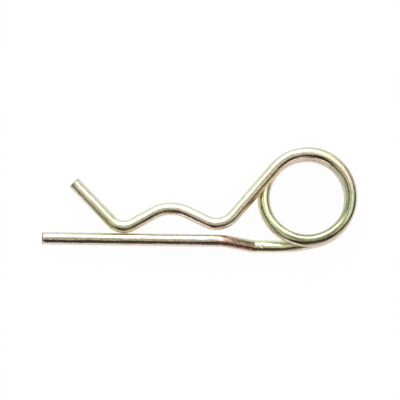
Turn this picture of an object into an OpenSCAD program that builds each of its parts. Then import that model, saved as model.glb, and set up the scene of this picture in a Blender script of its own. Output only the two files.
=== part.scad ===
// Hitch pin clip of the R shape, with a double coil.
//
// One length of round spring wire: a straight leg that goes through the cross hole of a shaft,
// a joggle, a coil of a little over one and a half turns that makes the spring, and a spring leg
// with two troughs and an arch that grips the shaft from outside.
//
// The wire is drawn as it is bent: a list of straights, rolls and bends, each starting where the
// one before it ends. It lies as it comes to rest, on the tip of the straight leg and on the back
// turn of the coil. +X runs from the tip to the coil, +Z is up, and the origin is on the floor
// under the middle. Lengths are in millimetres and angles in degrees.

/* [Wire] */
// diameter of the spring wire
wire_d = 4; // [3:0.1:5]
// bevel round the cut at each end of the wire
tip_bevel = 0.4; // [0.1:0.1:0.8]

/* [Straight leg] */
// from the tip to the start of the joggle
leg_length = 57.1; // [45:0.1:70]
// sideways step of the joggle, away from the spring leg
joggle_drop = 1.77; // [1:0.01:3]
// length of the joggle along the leg
joggle_run = 12.35; // [11:0.05:15]
// bend radius where the joggle leaves the leg
joggle_leg_r = 8; // [5:0.5:9]
// bend radius where the joggle meets the coil's strand
joggle_coil_r = 3.5; // [2.5:0.5:7]

/* [Coil] */
// radius of the wire's centre line in the coil
coil_r = 14.17; // [11:0.01:18]
// straight strand between the joggle and the coil
strand_length = 5.39; // [4:0.01:10]
// radius of the easy bend that leads the strand into the coil
lead_in_r = 56.2; // [40:0.1:80]
// angle of that easy bend
lead_in_angle = 15.34; // [8:0.01:22]
// free space between the coil's two layers
layer_gap = 0.2; // [0.1:0.05:0.5]
// how far the front turn sits from the back turn, along and across the leg
turn_shift = [0.09, 0.73]; // [0:0.01:1.2]

/* [Spring leg] */
// straight from the coil to the inner trough
neck_length = 20.67; // [16:0.01:26]
// bend radius of the inner trough
inner_trough_r = 7.15; // [6:0.01:9]
// angle of the inner trough
inner_trough_angle = 74.74; // [68:0.01:80]
// straight from the inner trough up to the arch
arch_back_length = 7.02; // [5:0.01:9]
// bend radius of the arch that lies on the shaft
arch_r = 12.2; // [10:0.01:15]
// angle of the arch
arch_angle = 54.47; // [48:0.01:60]
// straight from the arch down to the outer trough
arch_front_length = 7.67; // [6:0.01:9]
// bend radius of the outer trough
outer_trough_r = 5.59; // [5:0.01:8]
// angle of the outer trough
outer_trough_angle = 74.63; // [68:0.01:80]
// straight flared end that the shaft pushes open
flare_length = 17.69; // [12:0.01:22]
// free space between the outer trough and the straight leg
trough_gap = 0.1; // [0.05:0.05:0.5]

/* [Hidden] */
// flats round the wire and round a full bend, for the preview
wire_sides = 48;
bend_sides = 120;
// digits of a number that reach the exact solid, and the error in length that a turn may leave
digits = 6;
length_error = 2e-9;
// rounds that settle the climb between the layers, from a first guess of its roll
climb_rounds = 12;
first_roll = 15;
full_turn = 360;
half_turn = 180;
// an angle over 100 degrees would lose a digit after its point
longest_bend = 90;
// plating of the leg, of the coil and of the spring leg
leg_tint = [0.78, 0.74, 0.52];
coil_tint = [0.76, 0.71, 0.45];
spring_tint = [0.79, 0.75, 0.55];

wire_r = wire_d / 2;
layer_pitch = wire_d + layer_gap;

// A path in the plane of the coil is a list [x, y, heading].
function ahead(at, length) = [at[0] + length * cos(at[2]), at[1] + length * sin(at[2]), at[2]];
function hub(at, r) = [at[0] - r * sin(at[2]), at[1] + r * cos(at[2])];
// Turns left by an angle round a hub at radius r. A negative radius turns right.
function turned(at, angle, r) =
    let (c = hub(at, r), h = at[2] + angle * sign(r))
    [c[0] + r * sin(h), c[1] - r * cos(h), h];

// Centres of the two turns, seen from above, with the tip of the straight leg at [0, 0].
joggle_end = [leg_length + joggle_run, -joggle_drop];
lead_in_end = turned([joggle_end[0] + strand_length, joggle_end[1], 0], lead_in_angle, lead_in_r);
back_hub = hub(lead_in_end, coil_r);
front_hub = back_hub + turn_shift;

// The spring leg as it leaves the coil straight ahead, measured from the hub of the front turn.
neck_end = ahead([0, -coil_r, 0], neck_length);
arch_back_start = turned(neck_end, inner_trough_angle, -inner_trough_r);
arch_start = ahead(arch_back_start, arch_back_length);
arch_end = turned(arch_start, arch_angle, arch_r);
outer_trough_start = ahead(arch_end, arch_front_length);
outer_hub = hub(outer_trough_start, -outer_trough_r);

// The coil turns until the outer trough hangs just clear of the straight leg.
outer_hub_height = outer_trough_r + wire_d + trough_gap - front_hub[1];
outer_hub_angle = half_turn - asin(outer_hub_height / norm(outer_hub));
front_angle = outer_hub_angle - atan2(outer_hub[1], outer_hub[0]) + full_turn;
overlap_angle = front_angle % full_turn;

// Between the layers the wire climbs in two mirrored bends, each in a tilted plane of its own.
climb_angle = full_turn - overlap_angle;
climb_heading = [cos(climb_angle), sin(climb_angle)];
climb_goal =
    let (c = cos(overlap_angle), s = sin(overlap_angle))
    [coil_r * climb_heading[1] + turn_shift * [c, s],
     coil_r * (1 - climb_heading[0]) + turn_shift * [-s, c]];
// Way made by each of the two bends at a radius of 1, along and across the heading at the start.
function climb_first(bend, roll) = [sin(bend), (1 - cos(bend)) * cos(roll)];
function climb_second(bend, roll) =
    let (a = climb_first(bend, roll))
    [a[0] * climb_heading[0] + a[1] * climb_heading[1], a[0] * climb_heading[1] - a[1] * climb_heading[0]];
function climb_radii(bend, roll) =
    let (a = climb_first(bend, roll), b = climb_second(bend, roll))
    [cross(climb_goal, b), cross(a, climb_goal)] / cross(a, b);
function climb_bend(roll) = atan2(tan(climb_angle / 2), cos(roll));
function climb_roll(roll, rounds) =
    let (bend = climb_bend(roll), radii = climb_radii(bend, roll))
    rounds < 1 ? roll
        : climb_roll(asin(layer_pitch / ((radii[0] + radii[1]) * (1 - cos(bend)))), rounds - 1);
roll_up = climb_roll(first_roll, climb_rounds);
bend_up = climb_bend(roll_up);
radii_up = climb_radii(bend_up, roll_up);
roll_over =
    let (a = climb_first(bend_up, roll_up))
    2 * acos(a[0] * sin(climb_angle / 2) + cos(bend_up) * cos(roll_up) * cos(climb_angle / 2));

// The joggle steps sideways and back at once, so its plane is rolled about the leg.
joggle_step = norm([joggle_drop, layer_pitch]);
joggle_roll = atan2(-layer_pitch, -joggle_drop);
joggle_radii = joggle_leg_r + joggle_coil_r;
joggle_reach = joggle_radii - joggle_step;
joggle_angle = asin(joggle_radii / norm([joggle_run, joggle_reach])) - atan2(joggle_reach, joggle_run);
joggle_length = (joggle_run - joggle_radii * sin(joggle_angle)) / cos(joggle_angle);

// Three places on the centre line carry the clip at rest: the tip, the end of the joggle, and
// the point of the back turn where the climb starts.
climb_start = back_hub + coil_r * [sin(overlap_angle), -cos(overlap_angle)];
floor_up = cross([joggle_end[0], joggle_end[1], -layer_pitch], [climb_start[0], climb_start[1], -layer_pitch]);
rest_roll = atan2(floor_up[1], floor_up[2]);
rest_pitch = -atan2(floor_up[0], norm([floor_up[1], floor_up[2]]));
middle = [(front_hub[0] + coil_r + wire_r) / 2, (front_hub[1] + coil_r + joggle_end[1]) / 2];

// Turns are written with six digits, so most of them also stretch what they turn by a hair, and
// two round ends then no longer meet exactly. These functions find the nearest angle that keeps
// its length, and a turn takes up the rest of its error with a second, very small one.
function last_digit(x) = pow(10, floor(log(abs(x))) + 1 - digits);
function written(x, steps = 0) = x == 0 ? 0 : (round(x / last_digit(x)) + steps) * last_digit(x);
function keeps_length(a) = abs(pow(written(cos(a)), 2) + pow(written(sin(a)), 2) - 1) < length_error;
function sound(a, steps = 0) =
    keeps_length(written(a, -steps)) ? written(a, -steps)
        : keeps_length(written(a, steps)) ? written(a, steps) : sound(a, steps + 1);

module turn(a) {
    rotate([0, 0, a]) rotate([0, 0, a - atan2(written(sin(a)), written(cos(a)))]) children();
}

module roll(a) {
    rotate([sound(a), 0, 0]) children();
}

// A straight piece of wire, with what follows placed at its end.
module straight(length, tint) {
    color(tint) rotate([0, 90, 0]) cylinder(h = length, r = wire_r, $fn = wire_sides);
    translate([length, 0, 0]) children();
}

// A bend towards +Y, in equal pieces, with what follows placed at its end.
module bend(angle, r, tint) {
    pieces = ceil(angle / longest_bend);
    bend_pieces(pieces, sound(angle / pieces), r, tint) children();
}

module bend_pieces(count, a, r, tint) {
    color(tint) translate([0, r, 0]) rotate([0, 0, -90])
        rotate_extrude(angle = a, $fn = bend_sides) translate([r, 0]) circle(r = wire_r, $fn = wire_sides);
    translate([0, r, 0]) turn(a) translate([0, -r, 0])
        if (count > 1) bend_pieces(count - 1, a, r, tint) children();
        else children();
}

// A bend towards -Y.
module bend_right(angle, r, tint) {
    rotate([half_turn, 0, 0]) bend(angle, r, tint) rotate([half_turn, 0, 0]) children();
}

// The bevelled cut at an end of the wire. It grows along +X.
module cut_end(tint) {
    color(tint) rotate([0, 90, 0])
        cylinder(h = tip_bevel, r1 = wire_r - tip_bevel, r2 = wire_r, $fn = wire_sides);
    translate([tip_bevel, 0, 0]) children();
}

module straight_leg() {
    cut_end(leg_tint) straight(leg_length - tip_bevel, leg_tint) children();
}

module joggle() {
    roll(joggle_roll)
        bend(joggle_angle, joggle_leg_r, leg_tint) straight(joggle_length, leg_tint)
        bend_right(joggle_angle, joggle_coil_r, leg_tint)
    roll(-joggle_roll) children();
}

// Back turn, climb and front turn.
module coil() {
    straight(strand_length, coil_tint)
    bend(lead_in_angle, lead_in_r, coil_tint)
    bend(overlap_angle - lead_in_angle, coil_r, coil_tint)
    roll(roll_up) bend(bend_up, radii_up[0], coil_tint)
    roll(-roll_over) bend(bend_up, radii_up[1], coil_tint) roll(roll_up)
    bend(overlap_angle, coil_r, coil_tint) children();
}

module spring_leg() {
    straight(neck_length, spring_tint)
    bend_right(inner_trough_angle, inner_trough_r, spring_tint)
    straight(arch_back_length, spring_tint)
    bend(arch_angle, arch_r, spring_tint)
    straight(arch_front_length, spring_tint)
    bend_right(outer_trough_angle, outer_trough_r, spring_tint)
    straight(flare_length - tip_bevel, spring_tint)
    translate([tip_bevel, 0, 0]) rotate([0, half_turn, 0]) cut_end(spring_tint);
}

module r_clip() {
    straight_leg() joggle() coil() spring_leg();
}

module at_rest() {
    translate([-middle[0], -middle[1], wire_r]) rotate([rest_roll, rest_pitch, 0]) children();
}

at_rest() r_clip();
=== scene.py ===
"""Looks of the R clip: one swept length of zinc plated spring wire on a white studio floor."""
import math

import bmesh
import bpy
import numpy as np
from mathutils import Matrix, Vector


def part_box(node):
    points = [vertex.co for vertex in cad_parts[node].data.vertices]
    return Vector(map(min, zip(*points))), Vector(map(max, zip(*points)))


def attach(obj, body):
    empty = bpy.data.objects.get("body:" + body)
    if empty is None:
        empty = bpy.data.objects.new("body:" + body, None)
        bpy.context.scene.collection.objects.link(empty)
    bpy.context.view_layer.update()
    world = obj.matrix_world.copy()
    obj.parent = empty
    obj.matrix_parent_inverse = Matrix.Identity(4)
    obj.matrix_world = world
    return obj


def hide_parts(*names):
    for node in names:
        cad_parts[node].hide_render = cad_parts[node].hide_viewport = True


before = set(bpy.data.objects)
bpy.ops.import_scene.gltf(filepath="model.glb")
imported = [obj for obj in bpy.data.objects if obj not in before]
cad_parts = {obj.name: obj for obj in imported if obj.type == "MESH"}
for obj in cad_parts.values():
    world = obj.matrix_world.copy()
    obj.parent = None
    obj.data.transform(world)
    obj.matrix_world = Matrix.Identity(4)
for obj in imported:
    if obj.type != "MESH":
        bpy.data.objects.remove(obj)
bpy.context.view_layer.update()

MM = 0.001

# Sizes of the bent wire, in mm and degrees, the same as in part.scad.
WIRE_R = 2.0
LEG, JOGGLE_DROP, JOGGLE_RUN = 57.1, 1.77, 12.35
JOGGLE_LEG_R, JOGGLE_COIL_R = 8.0, 3.5
COIL_R, STRAND, LEAD_IN_R, LEAD_IN = 14.17, 5.39, 56.2, 15.34
LAYER_PITCH, TURN_SHIFT = 4.2, (0.09, 0.73)
NECK, FLARE, TROUGH_GAP = 20.67, 17.69, 0.1
INNER_TROUGH, ARCH, OUTER_TROUGH = (7.15, 74.74), (12.2, 54.47), (5.59, 74.63)
ARCH_BACK, ARCH_FRONT = 7.02, 7.67

# Rounds that settle the climb between the coil's layers, from a first guess of its roll.
CLIMB_ROUNDS, FIRST_ROLL = 12, 15.0


def spin(axis, degrees):
    return np.array(Matrix.Rotation(math.radians(degrees), 3, axis))


def sin(a):
    return math.sin(math.radians(a))


def cos(a):
    return math.cos(math.radians(a))


class Wire:
    """Draws the wire as it is bent. Each sample is its place, its section's frame and its length so far."""

    STEP = 0.4
    FINE_STEP = 0.1

    def __init__(self):
        self.at, self.axes, self.rolled, self.length = np.zeros(3), np.eye(3), 0.0, 0.0
        self.samples, self.marks = [], {}
        self.keep(self.at, self.axes, self.length)

    def keep(self, at, axes, length):
        self.samples.append((at.copy(), axes @ spin("X", -self.rolled), length))

    def mark(self, name):
        self.marks[name] = (self.at.copy(), self.length)

    def straight(self, length, step=STEP):
        count = max(1, round(length / step))
        for i in range(1, count + 1):
            way = length * i / count
            self.keep(self.at + self.axes[:, 0] * way, self.axes, self.length + way)
        self.at = self.at + self.axes[:, 0] * length
        self.length += length

    def roll(self, degrees):
        self.axes = self.axes @ spin("X", degrees)
        self.rolled += degrees

    def bend(self, degrees, radius):
        hub = self.at + self.axes[:, 1] * radius
        arc = math.radians(degrees) * radius
        count = max(2, round(arc / self.STEP))
        for i in range(1, count + 1):
            axes = self.axes @ spin("Z", degrees * i / count)
            self.keep(hub - axes[:, 1] * radius, axes, self.length + arc * i / count)
        self.axes = self.axes @ spin("Z", degrees)
        self.at = hub - self.axes[:, 1] * radius
        self.length += arc

    def bend_right(self, degrees, radius):
        self.roll(180)
        self.bend(degrees, radius)
        self.roll(-180)


def coil_angle(front_hub):
    """How far the front turn runs until the outer trough hangs just clear of the straight leg."""
    at, heading = np.array([0.0, -COIL_R]), 0.0

    def ahead(length):
        return at + length * np.array([cos(heading), sin(heading)])

    def hub(radius):
        return at + radius * np.array([-sin(heading), cos(heading)])

    for length, (radius, angle), side in ((NECK, INNER_TROUGH, -1), (ARCH_BACK, ARCH, 1)):
        at = ahead(length)
        centre = hub(side * radius)
        heading += side * angle
        at = centre + side * radius * np.array([sin(heading), -cos(heading)])
    at = ahead(ARCH_FRONT)
    x, y = hub(-OUTER_TROUGH[0])
    height = OUTER_TROUGH[0] + 2 * WIRE_R + TROUGH_GAP - front_hub[1]
    there = 180 - math.degrees(math.asin(height / math.hypot(x, y)))
    return there - math.degrees(math.atan2(y, x))


def climb(overlap):
    """Roll, bend and the two radii of the climb from the back layer to the front one."""
    angle = 360 - overlap
    ahead = np.array([cos(angle), sin(angle)])
    c, s = cos(overlap), sin(overlap)
    goal = np.array([
        COIL_R * ahead[1] + TURN_SHIFT[0] * c + TURN_SHIFT[1] * s,
        COIL_R * (1 - ahead[0]) - TURN_SHIFT[0] * s + TURN_SHIFT[1] * c,
    ])
    roll = FIRST_ROLL
    for _ in range(CLIMB_ROUNDS):
        bend = math.degrees(math.atan2(math.tan(math.radians(angle / 2)), cos(roll)))
        first = np.array([sin(bend), (1 - cos(bend)) * cos(roll)])
        second = np.array([first @ ahead, first[0] * ahead[1] - first[1] * ahead[0]])
        radii = np.linalg.solve(np.array([first, second]).T, goal)
        roll = math.degrees(math.asin(LAYER_PITCH / (radii.sum() * (1 - cos(bend)))))
    over = 2 * math.degrees(math.acos(first[0] * sin(angle / 2) + cos(bend) * cos(roll) * cos(angle / 2)))
    return roll, bend, radii, over


def bent_wire():
    w = Wire()
    w.mark("start")
    w.straight(LEG)
    w.mark("joggle")
    step = math.hypot(JOGGLE_DROP, LAYER_PITCH)
    radii = JOGGLE_LEG_R + JOGGLE_COIL_R
    reach = radii - step
    angle = math.degrees(math.asin(radii / math.hypot(JOGGLE_RUN, reach)) - math.atan2(reach, JOGGLE_RUN))
    length = (JOGGLE_RUN - radii * sin(angle)) / cos(angle)
    roll = math.degrees(math.atan2(-LAYER_PITCH, -JOGGLE_DROP))
    w.roll(roll)
    w.bend(angle, JOGGLE_LEG_R)
    w.straight(length)
    w.bend_right(angle, JOGGLE_COIL_R)
    w.roll(-roll)
    w.mark("strand")
    w.straight(STRAND, w.FINE_STEP)
    w.bend(LEAD_IN, LEAD_IN_R)
    back_hub = w.at + w.axes[:, 1] * COIL_R
    overlap = coil_angle(back_hub[:2] + np.array(TURN_SHIFT)) % 360
    w.bend(overlap - LEAD_IN, COIL_R)
    w.mark("climb")
    roll, bend, radii, over = climb(overlap)
    w.roll(roll)
    w.bend(bend, radii[0])
    w.roll(-over)
    w.bend(bend, radii[1])
    w.roll(roll)
    w.mark("front")
    w.bend(overlap, COIL_R)
    w.mark("neck")
    w.straight(NECK)
    w.mark("inner_trough")
    w.bend_right(INNER_TROUGH[1], INNER_TROUGH[0])
    w.straight(ARCH_BACK)
    w.mark("arch")
    w.bend(ARCH[1], ARCH[0])
    w.straight(ARCH_FRONT)
    w.mark("outer_trough")
    w.bend_right(OUTER_TROUGH[1], OUTER_TROUGH[0])
    w.mark("flare")
    w.straight(FLARE)
    w.mark("tip")
    return w


def resting(w):
    """Turns the bent wire as it rests: on its tip, on the joggle's end and where the climb starts."""
    end, start = w.marks["strand"][0], w.marks["climb"][0]
    up = np.cross(end, start)
    roll = math.degrees(math.atan2(up[1], up[2]))
    pitch = -math.degrees(math.atan2(up[0], math.hypot(up[1], up[2])))
    return spin("Y", pitch) @ spin("X", roll)


wire = bent_wire()
rest = resting(wire)
places = np.array([rest @ at for at, _, _ in wire.samples])
frames = np.array([rest @ axes for _, axes, _ in wire.samples])
lengths = np.array([length for _, _, length in wire.samples])
total = float(lengths[-1])

SIDES = 64
BEVEL, BEVEL_ANGLES = 0.4, (30, 60, 90)

# The cut face inside the bevel, a little hollow near its edge: shares of its radius, and how far out each
# lies in mm.
FACE = ((0.72, -0.04), (0.45, -0.01), (0.2, 0.0))

# A nick of the bending tool on the strand: mm after the joggle, degrees round the wire, its spans and depth.
NICK_AT, NICK_ANGLE, NICK_SPAN, NICK_DEPTH = 1.9, 88.0, (0.22, 11.0), 0.16


def past(mark, offset):
    """The length of wire up to a place some mm past a mark."""
    return wire.marks[mark][1] + offset


def ring(at, axes, radius, length):
    """One section of the wire: its points, and the same points on the wire before it was bent."""
    angles = np.arange(SIDES) * 2 * math.pi / SIDES
    away = (length - past("strand", NICK_AT)) / NICK_SPAN[0]
    turn = (np.degrees(angles) - NICK_ANGLE) / NICK_SPAN[1]
    radii = radius - NICK_DEPTH * np.exp(-away * away - turn * turn)
    across = np.stack([np.cos(angles), np.sin(angles)], 1) * radii[:, None]
    points = at + across @ axes[:, 1:].T
    unbent = np.column_stack([across, np.full(SIDES, length)])
    return points, unbent


def end_rings(index, outward):
    """The rounded edge and the cut face of one end, from the wire inwards to the face's middle."""
    at, axes, length = places[index], frames[index], lengths[index]
    way = axes[:, 0] * outward
    rows = []
    for a in BEVEL_ANGLES:
        back = BEVEL * (1 - sin(a))
        rows.append(ring(at - way * back, axes, WIRE_R - BEVEL * (1 - cos(a)), length - outward * back))
    for share, out in FACE:
        rows.append(ring(at + way * out, axes, (WIRE_R - BEVEL) * share, length))
    return rows


def swept():
    """The wire's skin as one mesh, with its unbent coordinates kept for the material."""
    inner = np.where((lengths > BEVEL) & (lengths < total - BEVEL))[0]
    first = end_rings(0, -1)[::-1]
    last = end_rings(len(lengths) - 1, 1)
    rows = first + [ring(places[i], frames[i], WIRE_R, lengths[i]) for i in inner] + last
    mesh = bmesh.new()
    made = []
    unbent = []
    for points, before in rows:
        made.append([mesh.verts.new(Vector(p)) for p in points])
        unbent.extend(before)
    for a, b in zip(made, made[1:]):
        for i in range(SIDES):
            j = (i + 1) % SIDES
            mesh.faces.new((a[i], a[j], b[j], b[i]))
    for row, (points, before) in ((made[0][::-1], rows[0]), (made[-1], rows[-1])):
        middle = mesh.verts.new(Vector(points.mean(0)))
        unbent.append(before.mean(0))
        for i in range(SIDES):
            mesh.faces.new((middle, row[i], row[(i + 1) % SIDES]))
    bmesh.ops.recalc_face_normals(mesh, faces=mesh.faces)
    data = bpy.data.meshes.new("r_clip_wire")
    mesh.to_mesh(data)
    mesh.free()
    for face in data.polygons:
        face.use_smooth = True
    layer = data.attributes.new("unbent", "FLOAT_VECTOR", "POINT")
    layer.data.foreach_set("vector", np.array(unbent, dtype=np.float32).ravel())
    return data


def seat(data, box):
    """Moves the mesh to the middle of the CAD node's box and onto its floor. Returns the move in mm."""
    points = np.empty(len(data.vertices) * 3, dtype=np.float32)
    data.vertices.foreach_get("co", points)
    points = points.reshape(-1, 3).astype(float)
    low, high = box
    shift = (low + high - points.min(0) - points.max(0)) / 2
    shift[2] = low[2] - points[:, 2].min()
    data.vertices.foreach_set("co", ((points + shift) * MM).astype(np.float32).ravel())
    data.update()
    return shift


data = swept()
cad_low, cad_high = (np.array(corner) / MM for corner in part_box("r_clip"))
shift = seat(data, (cad_low, cad_high))
clip = bpy.data.objects.new("r_clip_wire", data)
bpy.context.collection.objects.link(clip)


class Nodes:
    """Short names for the nodes of a material or of the world."""

    def __init__(self, tree):
        self.tree = tree
        tree.nodes.clear()

    def add(self, kind, **values):
        node = self.tree.nodes.new(kind)
        for name, value in values.items():
            setattr(node, name, value)
        return node

    def link(self, a, b):
        self.tree.links.new(a, b)

    def put(self, socket, value):
        if isinstance(value, bpy.types.NodeSocket):
            self.link(value, socket)
        else:
            socket.default_value = value

    def math(self, operation, a, b):
        node = self.add("ShaderNodeMath", operation=operation)
        self.put(node.inputs[0], a)
        self.put(node.inputs[1], b)
        return node.outputs[0]

    def times(self, a, b):
        return self.math("MULTIPLY", a, b)

    def plus(self, a, b):
        return self.math("ADD", a, b)

    def dot(self, vector, way):
        node = self.add("ShaderNodeVectorMath", operation="DOT_PRODUCT")
        self.put(node.inputs[0], vector)
        self.put(node.inputs[1], way)
        return node.outputs["Value"]

    def noise(self, vector, scale, detail, rough, lengthwise=1.0):
        """A soft noise. The smaller its share lengthwise, the further it is drawn out along the wire."""
        squeezed = self.add("ShaderNodeVectorMath", operation="MULTIPLY")
        self.put(squeezed.inputs[0], vector)
        self.put(squeezed.inputs[1], (1.0, 1.0, lengthwise))
        node = self.add("ShaderNodeTexNoise")
        self.link(squeezed.outputs["Vector"], node.inputs["Vector"])
        node.inputs["Scale"].default_value = scale
        node.inputs["Detail"].default_value = detail
        node.inputs["Roughness"].default_value = rough
        return node.outputs["Fac"]

    def swing(self, noise, width):
        """The noise spread evenly round zero."""
        return self.times(self.math("SUBTRACT", noise, 0.5), width)

    def ramp(self, value, low, high, to_low=0.0, to_high=1.0):
        node = self.add("ShaderNodeMapRange", interpolation_type="SMOOTHSTEP")
        for name, given in (("Value", value), ("From Min", low), ("From Max", high),
                            ("To Min", to_low), ("To Max", to_high)):
            self.put(node.inputs[name], given)
        return node.outputs["Result"]

    def fade(self, value, full, gone):
        return self.ramp(value, full, gone, 1.0, 0.0)

    def window(self, value, opening, full, closing, gone):
        return self.times(self.ramp(value, opening, full), self.fade(value, closing, gone))

    def mix(self, share, a, b, blend="MIX"):
        node = self.add("ShaderNodeMix", data_type="RGBA", blend_type=blend)
        self.put(node.inputs[0], share)
        self.put(node.inputs[6], a)
        self.put(node.inputs[7], b)
        return node.outputs[2]

    # Multiplies a tint in: used for real stains and wear, and for painted shade.
    def stain_or_shade(self, colour, where, tint, strength):
        return self.mix(self.times(where, strength), colour, (*tint, 1.0), "MULTIPLY")


# The plating's tints and how rough each one is. The dusk tint is painted shade and the brown one painted
# reflection.
STRAW = (0.75, 0.70, 0.65, 0.14)
OLIVE = (0.66, 0.69, 0.52, 0.13)
SAGE = (0.69, 0.69, 0.59, 0.13)
ROSY = (0.75, 0.69, 0.66, 0.13)
PALE = (0.79, 0.76, 0.69, 0.27)
BLUSH = (0.77, 0.68, 0.65, 0.26)
BRONZE = (0.61, 0.57, 0.46, 0.15)
# Painted reflection: this brown stands for the joggle's tilt toward the dark side of the room.
JOGGLE_REFLECTION_BROWN = (0.80, 0.67, 0.60, 0.22)
GOLD = (0.79, 0.75, 0.64, 0.25)
LIME = (0.76, 0.77, 0.63, 0.25)
# Painted shade: this darker tint stands for the shading on the coil's bottom.
DUSK_SHADE = (0.56, 0.54, 0.45, 0.15)
CREAM = (0.92, 0.92, 0.76, 0.17)

# Where one tint gives way to the next, in mm from a mark of the path.
ZONES = (
    ("start", 3, ROSY), ("start", 20, SAGE), ("start", 30, STRAW), ("start", 54, ROSY),
    # Painted reflection: the brown on the joggle, from 2.5 to 12 mm past its mark.
    ("joggle", 2.5, JOGGLE_REFLECTION_BROWN), ("joggle", 12, JOGGLE_REFLECTION_BROWN), ("strand", 0, CREAM), ("strand", 9, CREAM),
    ("strand", 14, OLIVE), ("strand", 24, ROSY),
    # Painted shade: the darker tint on the coil's bottom, from 2 mm before the front mark to 7 mm past it.
    ("climb", 0, ROSY), ("climb", 8, OLIVE), ("climb", 18, OLIVE), ("front", -2, DUSK_SHADE), ("front", 7, DUSK_SHADE),
    ("front", 14, OLIVE), ("front", 21, OLIVE), ("front", 27, BRONZE), ("front", 39, BRONZE),
    ("neck", -10, STRAW), ("neck", 3, GOLD), ("neck", 12, PALE),
    ("inner_trough", 0, PALE), ("inner_trough", 7, BLUSH),
    ("arch", -2, BLUSH), ("arch", 8, PALE), ("outer_trough", 0, GOLD), ("flare", 0, LIME), ("flare", 4, LIME),
    ("tip", -8, PALE), ("tip", -1, STRAW),
)

# Painted reflection: the plating is tinted greener on the side that faces one way and rosier on the other,
# for the room's coloured reflections on each side.
ROSY_REFLECTION_WAY = (0.5, -0.87, 0.0)
GREENER_REFLECTION, ROSIER_REFLECTION = (0.93, 1.04, 0.88, 1.0), (1.11, 0.94, 0.92, 1.0)

# Noises on the straight wire: scale, detail and roughness, and the share lengthwise where one is drawn out.
DRIFT = 0.35, 3.0, 0.5
PATCHES = 0.45, 4.0, 0.65
FLECKS = 1.9, 3.0, 0.6, 0.4
MOTTLES = 1.1, 4.0, 0.65
CLOUDS = 0.5, 3.0, 0.6
WAVES = 0.9, 2.0, 0.5, 0.12
RIPPLES = 2.0, 4.0, 0.65, 0.4
LINES = 6.0, 3.0, 0.6, 0.05

# How far the zones drift along the wire in mm, the share of that for the stains and the painted shade, and
# how much the patches of the painted side reflection count.
ZONE_DRIFT, STAIN_AND_SHADE_DRIFT, PATCHY = 9.0, 0.1, 3.0

# Between which values the painted rosy side reflection, the flecks and the upper side come in, and the
# painted shade of the cut ends goes. The last two are in mm.
SIDE_FADE, FLECK_FADE, UPPER_FADE, CUT_FADE = (-1.1, 1.2), (0.53, 0.68), (-0.3, 0.3), (0.1, 0.75)

# Tints that darken the plating, with their strengths. The joggle's and the cut ends' tints are painted shade.
FLECK_TINT = (0.62, 0.56, 0.46), 0.65
JOGGLE_SHADE_TINT = (0.43, 0.32, 0.29), 0.95
CUT_END_SHADE = (0.30, 0.28, 0.25), 0.85
WORN_TINT = (1.0, 0.95, 0.76), 0.9

# A stretch of the wire has two ends. Each is a mark and the mm past it between which the stretch fades.
JOGGLE_START, JOGGLE_END = ("joggle", 0.2, 1.8), ("strand", -0.7, -0.1)

# The painted shade on the joggle, a mottled brown where its tilt turns it toward the dark side of the room:
# its edges across the wire, how far the left one slants in each mm, and between which values of the noise it
# goes from its weakest to its strongest.
JOGGLE_SHADE_RIGHT, JOGGLE_SHADE_LEFT, JOGGLE_SHADE_SLANT = (-0.75, -0.60), (0.85, 1.05), 0.04
JOGGLE_SHADE_MOTTLED = 0.40, 0.60, 0.55, 1.05

# Painted shade on the upper side: dark bands that stand in for dark reflections on the joggle, the strand and
# the coil's bottom. Each has its stretch, the four places across the wire between which it comes and goes,
# from -1 on its right to 1 on its left, its tint and its strength.
UPPER_PAINTED_SHADE = (
    (JOGGLE_START, ("strand", 9.0, 16.0), (-0.86, -0.65, -0.50, -0.36), (0.27, 0.23, 0.18), 0.85),
    (("joggle", 4.2, 9.0), JOGGLE_END, (-0.05, 0.2, 0.6, 0.75), (0.50, 0.54, 0.44), 0.9),
    (("front", -9.0, -5.0), ("front", 9.0, 14.0), (-0.50, -0.15, 0.0, 0.22), (0.45, 0.50, 0.43), 0.8),
)

# Stains on the left side, which come in between two places across the wire: the neck's golden side and its
# brown edge. The outer trough is worn there, where it presses on the leg.
LEFT_STAINS = (
    (("neck", -4.0, 0.0), ("neck", 17.0, 24.0), (-0.1, 0.4), (1.0, 0.97, 0.73), 0.9),
    (("neck", 7.0, 10.0), ("neck", 15.0, 18.0), (0.1, 0.5), (1.0, 0.76, 0.70), 0.8),
)
WORN_SIDE = ("outer_trough", -2.0, 1.5), ("flare", 1.0, 5.0), (-0.1, 0.4)

# Pits: how many to a mm, between which distances they fade, their colour and its strength.
PITS, PIT_FADE, PIT_COLOUR, PIT_STRENGTH = 0.8, (0.06, 0.16), (0.20, 0.15, 0.10, 1.0), 0.6

# Shares of the roughness that the clouds leave, and what lines, pits and wear add to it.
CLOUD_ROUGH, LINE_ROUGH, PIT_ROUGH, WORN_ROUGH = (0.3, 0.7, 0.5, 0.9), (0.3, 0.7, -0.02, 0.03), 0.25, 0.15

# Heights of the skin's relief, as shares of RELIEF, which is in metres.
RIPPLE_HEIGHT, LINE_HEIGHT, PIT_DEPTH, RELIEF = 0.5, 0.03, 0.2, 0.0001


def zoned(n, length, drift):
    """The tint of each stretch of the wire, and its roughness. The dusk stretch is painted shade and the
    brown joggle painted reflection.
    """
    ramp = n.add("ShaderNodeValToRGB")
    ramp.color_ramp.interpolation = "EASE"
    stops = ramp.color_ramp.elements
    for number, (mark, offset, tint) in enumerate(ZONES):
        at = past(mark, offset) / total
        stop = stops[number] if number < 2 else stops.new(at)
        stop.position = at
        stop.color = tint
    n.link(n.math("DIVIDE", n.plus(length, drift), total), ramp.inputs[0])
    return ramp.outputs["Color"], ramp.outputs["Alpha"]


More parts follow.
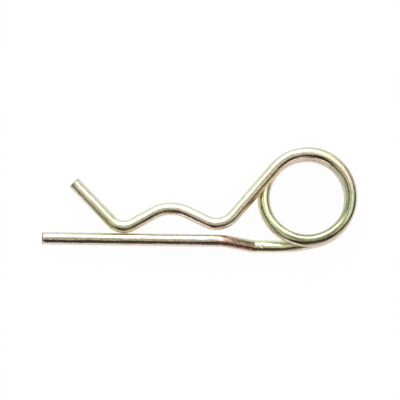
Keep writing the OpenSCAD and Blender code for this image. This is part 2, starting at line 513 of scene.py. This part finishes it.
def side_reflection_tint(n, unbent):
    """Painted reflection: a tint by the side that a place faces, in patches."""
    normal = n.add("ShaderNodeNewGeometry").outputs["Normal"]
    patchy = n.swing(n.noise(unbent, *PATCHES), PATCHY)
    rosy_reflection = n.ramp(n.plus(n.dot(normal, ROSY_REFLECTION_WAY), patchy), *SIDE_FADE)
    return n.mix(rosy_reflection, GREENER_REFLECTION, ROSIER_REFLECTION)


def stretch(n, along, opening, closing):
    places = [past(mark, offset) for mark, *offsets in (opening, closing) for offset in offsets]
    return n.window(along, *places)


def on_left(n, along, across, opening, closing, places):
    return n.times(stretch(n, along, opening, closing), n.ramp(across, *places))


def stained_and_shaded(n, colour, unbent, parts, along, across):
    """Flecks, the painted shade on the joggle and in bands on the upper side, the stains on the left side,
    and the painted shade on the cut ends.
    """
    colour = n.stain_or_shade(colour, n.ramp(n.noise(unbent, *FLECKS), *FLECK_FADE), *FLECK_TINT)

    upper = n.ramp(parts["Y"], *UPPER_FADE)
    # Painted shade, held in scale below: the joggle's upper side darkened brown in a mottled band with a
    # slanting edge.
    slanted = n.plus(across, n.times(n.math("SUBTRACT", parts["Z"], past("joggle", 0)), JOGGLE_SHADE_SLANT))
    scale = n.times(n.ramp(across, *JOGGLE_SHADE_RIGHT), n.fade(slanted, *JOGGLE_SHADE_LEFT))
    mottled = n.ramp(n.noise(unbent, *MOTTLES), *JOGGLE_SHADE_MOTTLED)
    scale = n.times(n.times(scale, upper), n.times(stretch(n, along, JOGGLE_START, JOGGLE_END), mottled))
    colour = n.stain_or_shade(colour, scale, *JOGGLE_SHADE_TINT)

    # Painted shade: dark bands across the upper side.
    for opening, closing, places, tint, strength in UPPER_PAINTED_SHADE:
        where = n.times(stretch(n, along, opening, closing), upper)
        colour = n.stain_or_shade(colour, n.times(where, n.window(across, *places)), tint, strength)
    for opening, closing, places, tint, strength in LEFT_STAINS:
        colour = n.stain_or_shade(colour, on_left(n, along, across, opening, closing, places), tint, strength)

    # Painted shade: the rounded cut ends are darkened.
    from_end = n.math("MINIMUM", parts["Z"], n.math("SUBTRACT", total, parts["Z"]))
    return n.stain_or_shade(colour, n.fade(from_end, *CUT_FADE), *CUT_END_SHADE)


def pitted(n, unbent):
    cells = n.add("ShaderNodeTexVoronoi", feature="F1")
    n.link(unbent, cells.inputs["Vector"])
    cells.inputs["Scale"].default_value = PITS
    return n.fade(cells.outputs["Distance"], *PIT_FADE)


def plated():
    """Yellow passivated zinc on drawn spring wire: olive, straw and rosy zones, drawing lines, small pits,
    and painted shade and reflection on some stretches.
    """
    material = bpy.data.materials.new("plated_wire")
    material.use_nodes = True
    n = Nodes(material.node_tree)
    unbent = n.add("ShaderNodeAttribute", attribute_name="unbent").outputs["Vector"]
    split = n.add("ShaderNodeSeparateXYZ")
    n.link(unbent, split.inputs[0])
    drift = n.swing(n.noise(unbent, *DRIFT), ZONE_DRIFT)
    tint, rough = zoned(n, split.outputs["Z"], drift)
    # Painted reflection: the side tint is multiplied into the zone tint.
    colour = n.mix(1.0, tint, side_reflection_tint(n, unbent), "MULTIPLY")
    along = n.plus(split.outputs["Z"], n.times(drift, STAIN_AND_SHADE_DRIFT))
    across = n.math("DIVIDE", split.outputs["X"], WIRE_R)
    colour = stained_and_shaded(n, colour, unbent, split.outputs, along, across)
    worn = on_left(n, along, across, *WORN_SIDE)
    colour = n.stain_or_shade(colour, worn, *WORN_TINT)
    pit = pitted(n, unbent)
    colour = n.mix(n.times(pit, PIT_STRENGTH), colour, PIT_COLOUR)

    lines = n.noise(unbent, *LINES)
    rough = n.times(rough, n.ramp(n.noise(unbent, *CLOUDS), *CLOUD_ROUGH))
    rough = n.plus(rough, n.ramp(lines, *LINE_ROUGH))
    rough = n.plus(rough, n.times(pit, PIT_ROUGH))
    rough = n.plus(rough, n.times(worn, WORN_ROUGH))

    height = n.plus(n.noise(unbent, *WAVES), n.times(n.noise(unbent, *RIPPLES), RIPPLE_HEIGHT))
    height = n.plus(height, n.times(lines, LINE_HEIGHT))
    height = n.math("SUBTRACT", height, n.times(pit, PIT_DEPTH))
    bump = n.add("ShaderNodeBump")
    bump.inputs["Strength"].default_value = 1.0
    bump.inputs["Distance"].default_value = RELIEF
    n.link(height, bump.inputs["Height"])

    shader = n.add("ShaderNodeBsdfPrincipled")
    shader.inputs["Metallic"].default_value = 1.0
    n.link(colour, shader.inputs["Base Color"])
    n.link(rough, shader.inputs["Roughness"])
    n.link(bump.outputs["Normal"], shader.inputs["Normal"])
    out = n.add("ShaderNodeOutputMaterial")
    n.link(shader.outputs[0], out.inputs["Surface"])
    return material


data.materials.append(plated())
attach(clip, "root")
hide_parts("r_clip")

WHITE = (1.0, 1.0, 1.0, 1.0)
PAPER = (0.85, 0.85, 0.85, 1.0)
FLOOR_HALF = 2.0

# How much of the floor's own white the camera sees, over its shaded paper, and how much the metal mirrors.
SEEN_WHITE, MIRRORED_WHITE = 0.95, 0.5


def white_floor():
    """Matt white paper that looks almost pure white to the camera, and keeps a part of the shadow."""
    material = bpy.data.materials.new("paper")
    material.use_nodes = True
    n = Nodes(material.node_tree)
    matt = n.add("ShaderNodeBsdfDiffuse")
    matt.inputs["Color"].default_value = PAPER
    glow = n.add("ShaderNodeEmission")
    path = n.add("ShaderNodeLightPath")
    mirrored = n.math("MAXIMUM", path.outputs["Is Glossy Ray"], path.outputs["Is Transmission Ray"])
    seen = n.times(path.outputs["Is Camera Ray"], SEEN_WHITE)
    mixed = n.add("ShaderNodeMixShader")
    n.link(n.math("MAXIMUM", seen, n.times(mirrored, MIRRORED_WHITE)), mixed.inputs[0])
    n.link(matt.outputs[0], mixed.inputs[1])
    n.link(glow.outputs[0], mixed.inputs[2])
    out = n.add("ShaderNodeOutputMaterial")
    n.link(mixed.outputs[0], out.inputs["Surface"])
    return material


def add_floor():
    corners = [(x * FLOOR_HALF, y * FLOOR_HALF, 0) for x, y in ((-1, -1), (1, -1), (1, 1), (-1, 1))]
    paper = bpy.data.meshes.new("floor")
    paper.from_pydata(corners, [], [(0, 1, 2, 3)])
    floor = bpy.data.objects.new("floor", paper)
    floor.location.z = float(cad_low[2]) * MM
    bpy.context.collection.objects.link(floor)
    paper.materials.append(white_floor())


add_floor()

# The room: an even level, and the soft patches that brighten or dim it. Each patch has its azimuth and polar
# angle in the clip's own axes, the angle within which it is full, the one beyond which it is gone, and its
# strength.
LEVEL = 1.55
LIGHTS = (
    (358, 71, 7, 66, -1.90), (174, 92, 40, 80, -1.77), (262, 8, 6, 83, -0.59), (14, 37, 8, 41, 1.47),
    (117, 99, 33, 80, 0.74), (283, 51, 11, 44, -1.60), (246, 86, 18, 36, -0.97), (42, 19, 3, 36, -0.83),
    (113, 58, 15, 37, 1.12), (205, 79, 6, 37, 1.02), (304, 60, 12, 49, 0.71), (45, 34, 9, 33, 0.66),
    (160, 52, 20, 42, 0.49), (247, 95, 3, 25, 2.87),
)
DIMMEST = 0.05

# Near the horizon the room has this share of its level, and from this height up all of it.
HORIZON_SHARE, HORIZON_TOP = 0.6, 0.3

# The dim parts of the room are warm. They turn white between these two levels.
WARM, WARM_LEVEL, WHITE_LEVEL = (1.0, 0.92, 0.68, 1.0), 0.1, 1.2


def add_world():
    """A soft room that only the metal mirrors, and an even white one that lights the floor."""
    world = bpy.data.worlds.new("studio")
    bpy.context.scene.world = world
    world.use_nodes = True
    n = Nodes(world.node_tree)
    toward = n.add("ShaderNodeTexCoord").outputs["Generated"]
    level = LEVEL
    for azimuth, polar, full, none, strength in LIGHTS:
        aim = rest @ np.array([sin(polar) * cos(azimuth), sin(polar) * sin(azimuth), cos(polar)])
        patch = n.ramp(n.dot(toward, tuple(aim)), cos(none), cos(full))
        level = n.plus(level, n.times(patch, strength))
    level = n.times(level, n.ramp(n.dot(toward, (0.0, 0.0, 1.0)), 0.0, HORIZON_TOP, HORIZON_SHARE, 1.0))
    level = n.math("MAXIMUM", level, DIMMEST)
    soft = n.add("ShaderNodeBackground")
    n.link(n.mix(n.ramp(level, WARM_LEVEL, WHITE_LEVEL), WARM, WHITE), soft.inputs["Color"])
    n.link(level, soft.inputs["Strength"])
    even = n.add("ShaderNodeBackground")
    even.inputs["Color"].default_value = WHITE
    room = n.add("ShaderNodeMixShader")
    n.link(n.add("ShaderNodeLightPath").outputs["Is Diffuse Ray"], room.inputs[0])
    n.link(soft.outputs[0], room.inputs[1])
    n.link(even.outputs[0], room.inputs[2])
    out = n.add("ShaderNodeOutputWorld")
    n.link(room.outputs[0], out.inputs["Surface"])


add_world()

# The camera looks straight down on the coil's plane, at a point in mm from the straight leg's tip.
VIEW_WIDTH, VIEW_AWAY, VIEW_TURN = 130.0, 700.0, 0.8
VIEW_TARGET = (51.07, 13.16, 0.0)
SENSOR = 36.0


def add_camera():
    lens = bpy.data.cameras.new("camera")
    camera = bpy.data.objects.new("camera", lens)
    bpy.context.collection.objects.link(camera)
    bpy.context.scene.camera = camera
    lens.sensor_width = SENSOR
    lens.lens = SENSOR * VIEW_AWAY / VIEW_WIDTH
    axes = rest @ spin("Z", VIEW_TURN)
    place = (rest @ np.array(VIEW_TARGET) + shift + axes[:, 2] * VIEW_AWAY) * MM
    camera.matrix_world = Matrix.Translation(Vector(place)) @ Matrix(axes.tolist()).to_4x4()


add_camera()
bpy.context.scene.view_settings.view_transform = "Standard"

bpy.context.view_layer.update()
